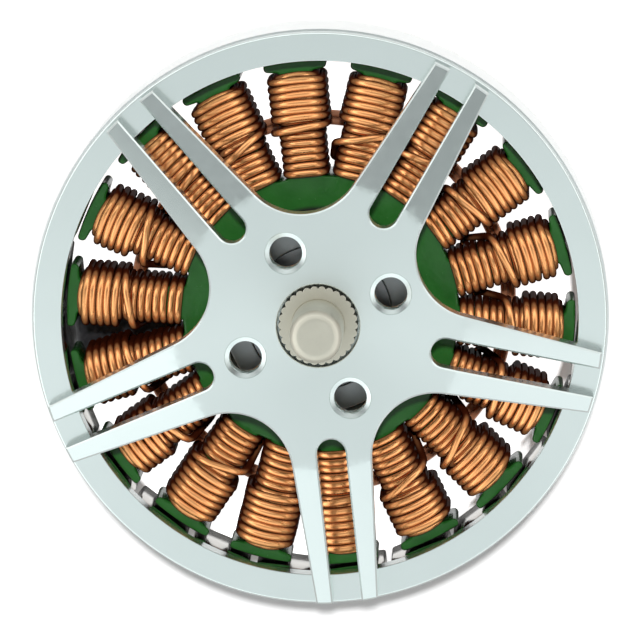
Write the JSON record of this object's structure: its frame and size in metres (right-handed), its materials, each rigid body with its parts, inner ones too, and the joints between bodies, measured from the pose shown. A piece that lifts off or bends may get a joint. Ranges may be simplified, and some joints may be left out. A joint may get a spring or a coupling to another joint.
{
  "type": "brushless dc motor",
  "caption": "Flat outrunner brushless motor: split-spoke aluminium bell over a green coated stator with wound copper coils, knurled shaft stub and screw holes in the hub.",
  "frame": {"origin": "centre of the foot's face, on the shaft's axis, at the bottom of the part", "axes": "+Z along the shaft, from the foot to the bell; +X in the plane of the foot, square to a gap between two foot screw holes"},
  "size_m": [0.044, 0.044, 0.0267],
  "materials": {
    "bell": "turned and milled, fine tool marks",
    "flux_ring": "plated, satin",
    "magnets": "nickel plated, bright",
    "shaft": "ground",
    "bearing_races": "ground",
    "ball_cages": "pressed",
    "shim_washer": "rolled",
    "retaining_clip": "blackened",
    "base": "turned",
    "stator_core": "glossy green epoxy coat",
    "coils": "enamelled copper wire",
    "jumper_wires": "enamelled copper wire",
    "lead_sleeve": "black sleeving"
  },
  "bodies": {
    "stator": {"base": "base", "stator_core": "stator_core", "coil_01": "coils", "coil_02": "coils", "coil_03": "coils", "coil_04": "coils", "coil_05": "coils", "coil_06": "coils", "coil_07": "coils", "coil_08": "coils", "coil_09": "coils", "coil_10": "coils", "coil_11": "coils", "coil_12": "coils", "coil_13": "coils", "coil_14": "coils", "coil_15": "coils", "coil_16": "coils", "coil_17": "coils", "coil_18": "coils", "front_bearing_outer": "bearing_races", "rear_bearing_outer": "bearing_races", "jumper_wire_1": "jumper_wires", "jumper_wire_2": "jumper_wires", "jumper_wire_3": "jumper_wires", "lead_sleeve": "lead_sleeve"},
    "rotor": {"bell": "bell", "flux_ring": "flux_ring", "magnet_01": "magnets", "magnet_02": "magnets", "magnet_03": "magnets", "magnet_04": "magnets", "magnet_05": "magnets", "magnet_06": "magnets", "magnet_07": "magnets", "magnet_08": "magnets", "magnet_09": "magnets", "magnet_10": "magnets", "magnet_11": "magnets", "magnet_12": "magnets", "magnet_13": "magnets", "magnet_14": "magnets", "magnet_15": "magnets", "magnet_16": "magnets", "magnet_17": "magnets", "magnet_18": "magnets", "magnet_19": "magnets", "magnet_20": "magnets", "magnet_21": "magnets", "magnet_22": "magnets", "magnet_23": "magnets", "magnet_24": "magnets", "shaft": "shaft", "front_bearing_inner": "bearing_races", "rear_bearing_inner": "bearing_races", "shim_washer": "shim_washer", "retaining_clip": "retaining_clip"},
    "front_cage": {"front_ball_cage": "ball_cages"},
    "rear_cage": {"rear_ball_cage": "ball_cages"}
  },
  "joints": [
    {"name": "rotor_spin", "type": "hinge", "parent": "stator", "child": "rotor", "pos_m": [0, 0, 0], "axis": [0, 0, 1], "continuous": true},
    {"name": "front_cage_spin", "type": "hinge", "parent": "stator", "child": "front_cage", "pos_m": [0, 0, 0], "axis": [0, 0, 1], "continuous": true},
    {"name": "rear_cage_spin", "type": "hinge", "parent": "stator", "child": "rear_cage", "pos_m": [0, 0, 0], "axis": [0, 0, 1], "continuous": true}
  ],
  "couplings": [
    {"joint": "front_cage_spin", "follows": "rotor_spin", "ratio": 0.3667},
    {"joint": "rear_cage_spin", "follows": "rotor_spin", "ratio": 0.3667}
  ]
}
